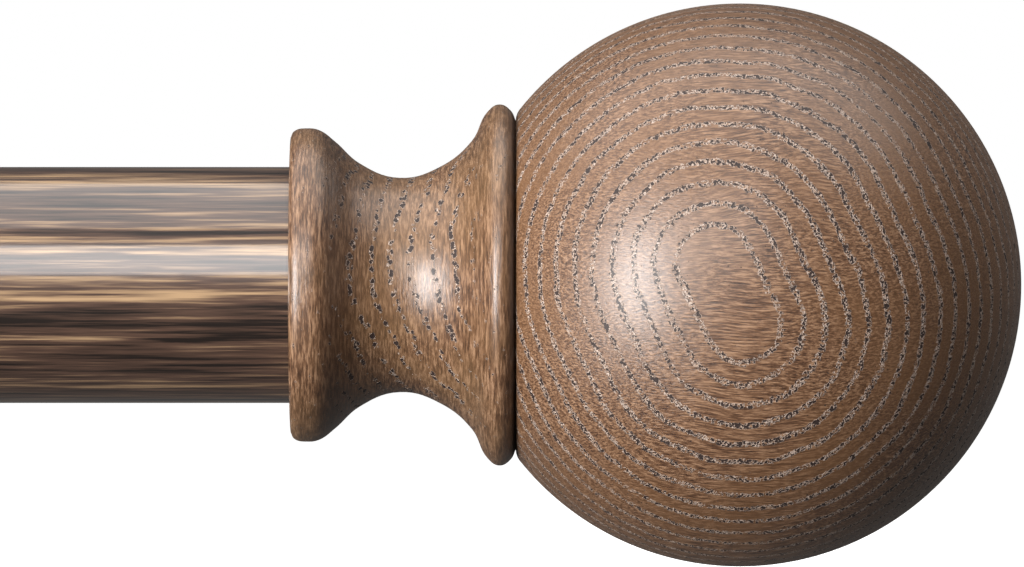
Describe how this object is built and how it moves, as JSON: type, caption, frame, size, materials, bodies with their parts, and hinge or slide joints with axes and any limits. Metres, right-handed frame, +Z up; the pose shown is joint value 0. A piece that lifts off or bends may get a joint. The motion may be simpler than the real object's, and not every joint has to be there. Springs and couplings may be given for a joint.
{
  "type": "curtain rod",
  "caption": "Telescoping tube rod with turned wooden ball finials screwed into its ends, held in U-shaped cradles on adjustable wall brackets with locking thumbscrews.",
  "frame": {"origin": "on the wall plane, at the centre of the right bracket's wall plate", "axes": "+X along the rod towards its right end, +Y into the wall, +Z up"},
  "size_m": [0.8594, 0.1543, 0.074],
  "materials": {
    "finial_wood": "walnut-stained ring-porous hardwood under satin lacquer",
    "rod_film": "steel tube with glossy printed wood-grain film",
    "bracket_bronze": "satin dark bronze powder coat",
    "knob_bronze": "satin dark bronze, knurled",
    "zinc_steel": "zinc plated",
    "insert_brass": "machined",
    "nylon": "moulded dark brown nylon"
  },
  "bodies": {
    "right_wall": {"wall_plate_right": "bracket_bronze", "sleeve_rosette_right": "bracket_bronze", "arm_sleeve_right": "bracket_bronze", "wall_screws_right": "zinc_steel"},
    "right_arm": {"bracket_arm_right": "bracket_bronze", "rod_cradle_right": "bracket_bronze", "cradle_fixing_screw_right": "zinc_steel"},
    "rod": {"outer_tube": "rod_film", "guide_bush": "nylon", "end_plug_right": "nylon", "thread_insert_right": "insert_brass"},
    "inner_rod": {"inner_tube": "rod_film", "tail_glide": "nylon", "end_collar": "rod_film", "end_plug_left": "nylon", "thread_insert_left": "insert_brass"},
    "left_wall": {"wall_plate_left": "bracket_bronze", "sleeve_rosette_left": "bracket_bronze", "arm_sleeve_left": "bracket_bronze", "wall_screws_left": "zinc_steel"},
    "left_arm": {"bracket_arm_left": "bracket_bronze", "rod_cradle_left": "bracket_bronze", "cradle_fixing_screw_left": "zinc_steel"},
    "right_finial_bolt": {"finial_bolt_right": "zinc_steel"},
    "right_finial": {"finial_spool_right": "finial_wood", "finial_ball_right": "finial_wood"},
    "right_cradle_lock_shank": {"cradle_lock_shank_right": "zinc_steel"},
    "right_cradle_lock_knob": {"cradle_lock_knob_right": "knob_bronze"},
    "right_arm_lock_shank": {"arm_lock_shank_right": "zinc_steel"},
    "right_arm_lock_knob": {"arm_lock_knob_right": "knob_bronze"},
    "left_finial_bolt": {"finial_bolt_left": "zinc_steel"},
    "left_finial": {"finial_spool_left": "finial_wood", "finial_ball_left": "finial_wood"},
    "left_cradle_lock_shank": {"cradle_lock_shank_left": "zinc_steel"},
    "left_cradle_lock_knob": {"cradle_lock_knob_left": "knob_bronze"},
    "left_arm_lock_shank": {"arm_lock_shank_left": "zinc_steel"},
    "left_arm_lock_knob": {"arm_lock_knob_left": "knob_bronze"}
  },
  "joints": [
    {"name": "right_projection", "type": "slide", "parent": "right_wall", "child": "right_arm", "axis": [0, -1, 0], "range_m": [0, 0.038]},
    {"name": "left_bracket_position", "type": "slide", "parent": "right_wall", "child": "left_wall", "axis": [-1, 0, 0], "range_m": [0, 0.5081]},
    {"name": "left_projection", "type": "slide", "parent": "left_wall", "child": "left_arm", "axis": [0, -1, 0], "range_m": [0, 0.0381]},
    {"name": "rod_lift", "type": "slide", "parent": "right_arm", "child": "rod", "axis": [0, 0, 1], "range_m": [0, 0.03]},
    {"name": "rod_extend", "type": "slide", "parent": "rod", "child": "inner_rod", "axis": [-1, 0, 0], "range_m": [0, 0.508]},
    {"name": "right_finial_travel", "type": "slide", "parent": "rod", "child": "right_finial_bolt", "axis": [1, 0, 0], "range_m": [0, 0.01414]},
    {"name": "right_finial_turn", "type": "hinge", "parent": "right_finial_bolt", "child": "right_finial", "pos_m": [0.08, -0.09, 0], "axis": [1, 0, 0], "range_deg": [0, 5040]},
    {"name": "right_cradle_lock_travel", "type": "slide", "parent": "right_arm", "child": "right_cradle_lock_shank", "axis": [0, -1, 0], "range_m": [0, 0.0042]},
    {"name": "right_cradle_lock_turn", "type": "hinge", "parent": "right_cradle_lock_shank", "child": "right_cradle_lock_knob", "pos_m": [0, -0.108, 0], "axis": [0, -1, 0], "range_deg": [0, 2180]},
    {"name": "right_arm_lock_travel", "type": "slide", "parent": "right_wall", "child": "right_arm_lock_shank", "axis": [0, 0, -1], "range_m": [0, 0.0042]},
    {"name": "right_arm_lock_turn", "type": "hinge", "parent": "right_arm_lock_shank", "child": "right_arm_lock_knob", "pos_m": [0, -0.053, -0.012], "axis": [0, 0, -1], "range_deg": [0, 2180]},
    {"name": "left_finial_travel", "type": "slide", "parent": "inner_rod", "child": "left_finial_bolt", "axis": [-1, 0, 0], "range_m": [0, 0.01414]},
    {"name": "left_finial_turn", "type": "hinge", "parent": "left_finial_bolt", "child": "left_finial", "pos_m": [-0.6312, -0.09, 0], "axis": [-1, 0, 0], "range_deg": [0, 5040]},
    {"name": "left_cradle_lock_travel", "type": "slide", "parent": "left_arm", "child": "left_cradle_lock_shank", "axis": [0, -1, 0], "range_m": [0, 0.0042]},
    {"name": "left_cradle_lock_turn", "type": "hinge", "parent": "left_cradle_lock_shank", "child": "left_cradle_lock_knob", "pos_m": [-0.5512, -0.108, 0], "axis": [0, -1, 0], "range_deg": [0, 2180]},
    {"name": "left_arm_lock_travel", "type": "slide", "parent": "left_wall", "child": "left_arm_lock_shank", "axis": [0, 0, -1], "range_m": [0, 0.0042]},
    {"name": "left_arm_lock_turn", "type": "hinge", "parent": "left_arm_lock_shank", "child": "left_arm_lock_knob", "pos_m": [-0.5512, -0.053, -0.012], "axis": [0, 0, -1], "range_deg": [0, 2180]}
  ],
  "couplings": [
    {"joint": "left_bracket_position", "follows": "rod_extend", "ratio": 1},
    {"joint": "left_projection", "follows": "right_projection", "ratio": 1},
    {"joint": "right_finial_travel", "follows": "right_finial_turn", "m_per_rad": 0.00015915},
    {"joint": "right_cradle_lock_turn", "follows": "right_cradle_lock_travel", "rad_per_m": 8976},
    {"joint": "right_arm_lock_turn", "follows": "right_arm_lock_travel", "rad_per_m": 8976},
    {"joint": "left_finial_travel", "follows": "left_finial_turn", "m_per_rad": 0.00015915},
    {"joint": "left_cradle_lock_turn", "follows": "left_cradle_lock_travel", "rad_per_m": 8976},
    {"joint": "left_arm_lock_turn", "follows": "left_arm_lock_travel", "rad_per_m": 8976}
  ]
}
